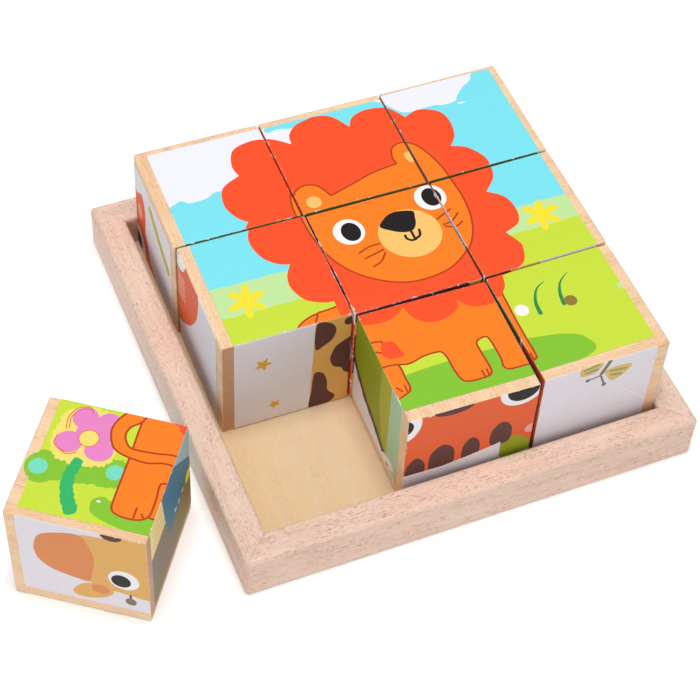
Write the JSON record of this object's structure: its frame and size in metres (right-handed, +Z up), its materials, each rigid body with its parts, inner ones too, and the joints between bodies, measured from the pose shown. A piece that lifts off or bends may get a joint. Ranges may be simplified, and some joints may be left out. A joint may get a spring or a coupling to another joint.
{
  "type": "picture block puzzle",
  "caption": "Picture puzzle of wooden cubes in a shallow mitred wooden tray; each cube face carries part of an animal picture, with a loose cube beside its empty corner.",
  "frame": {"origin": "middle of the tray's underside, in the plane of the table it stands on", "axes": "+X to the right and +Y to the back, square to the tray's rails; +Z up out of the tray"},
  "size_m": [0.1779, 0.1254, 0.0393],
  "materials": {
    "rail_beech": "planed beech with a thin matt lacquer, pinkish tan with short dark flecks along the grain",
    "floor_plywood": "bare sanded plywood face veneer, pale yellow with faint stains",
    "block_beech": "sanded beech with a thin clear lacquer, light yellow tan",
    "printed_paper": "satin coated paper with a full colour print, white where worn at its edges"
  },
  "bodies": {
    "tray": {"rail_front": "rail_beech", "rail_right": "rail_beech", "rail_back": "rail_beech", "rail_left": "rail_beech", "tray_floor": "floor_plywood"},
    "block_back_left": {"block_back_left": "block_beech", "label_back_left_top": "printed_paper", "label_back_left_front": "printed_paper", "label_back_left_left": "printed_paper", "label_back_left_right_back": "printed_paper", "label_back_left_bottom": "printed_paper"},
    "block_back_middle": {"block_back_middle": "block_beech", "label_back_middle_top": "printed_paper", "label_back_middle_front": "printed_paper", "label_back_middle_left": "printed_paper", "label_back_middle_right_back": "printed_paper", "label_back_middle_bottom": "printed_paper"},
    "block_back_right": {"block_back_right": "block_beech", "label_back_right_top": "printed_paper", "label_back_right_front": "printed_paper", "label_back_right_left": "printed_paper", "label_back_right_right_back": "printed_paper", "label_back_right_bottom": "printed_paper"},
    "block_middle_left": {"block_middle_left": "block_beech", "label_middle_left_top": "printed_paper", "label_middle_left_front": "printed_paper", "label_middle_left_left": "printed_paper", "label_middle_left_right_back": "printed_paper", "label_middle_left_bottom": "printed_paper"},
    "block_centre": {"block_centre": "block_beech", "label_centre_top": "printed_paper", "label_centre_front": "printed_paper", "label_centre_left": "printed_paper", "label_centre_right_back": "printed_paper", "label_centre_bottom": "printed_paper"},
    "block_middle_right": {"block_middle_right": "block_beech", "label_middle_right_top": "printed_paper", "label_middle_right_front": "printed_paper", "label_middle_right_left": "printed_paper", "label_middle_right_right_back": "printed_paper", "label_middle_right_bottom": "printed_paper"},
    "block_front_middle": {"block_front_middle": "block_beech", "label_front_middle_top": "printed_paper", "label_front_middle_front": "printed_paper", "label_front_middle_left": "printed_paper", "label_front_middle_right_back": "printed_paper", "label_front_middle_bottom": "printed_paper"},
    "block_front_right": {"block_front_right": "block_beech", "label_front_right_top": "printed_paper", "label_front_right_front": "printed_paper", "label_front_right_left": "printed_paper", "label_front_right_right_back": "printed_paper", "label_front_right_bottom": "printed_paper"},
    "block_loose": {"block_loose": "block_beech", "label_loose_top": "printed_paper", "label_loose_front": "printed_paper", "label_loose_left": "printed_paper", "label_loose_right_back": "printed_paper", "label_loose_bottom": "printed_paper"}
  },
  "joints": [
    {"name": "back_left_lifts_out", "type": "slide", "parent": "tray", "child": "block_back_left", "axis": [0, 0, 1], "range_m": [0, 0.04]},
    {"name": "back_middle_lifts_out", "type": "slide", "parent": "tray", "child": "block_back_middle", "axis": [0, 0, 1], "range_m": [0, 0.04]},
    {"name": "back_right_lifts_out", "type": "slide", "parent": "tray", "child": "block_back_right", "axis": [0, 0, 1], "range_m": [0, 0.04]},
    {"name": "middle_left_lifts_out", "type": "slide", "parent": "tray", "child": "block_middle_left", "axis": [0, 0, 1], "range_m": [0, 0.04]},
    {"name": "centre_lifts_out", "type": "slide", "parent": "tray", "child": "block_centre", "axis": [0, 0, 1], "range_m": [0, 0.04]},
    {"name": "middle_right_lifts_out", "type": "slide", "parent": "tray", "child": "block_middle_right", "axis": [0, 0, 1], "range_m": [0, 0.04]},
    {"name": "front_middle_slides_left", "type": "slide", "parent": "tray", "child": "block_front_middle", "axis": [-1, 0, 0], "range_m": [0, 0.037]},
    {"name": "front_right_lifts_out", "type": "slide", "parent": "tray", "child": "block_front_right", "axis": [0, 0, 1], "range_m": [0, 0.04]},
    {"name": "loose_lifts", "type": "slide", "parent": "tray", "child": "block_loose", "axis": [0, 0, 1], "range_m": [0, 0.04]}
  ]
}
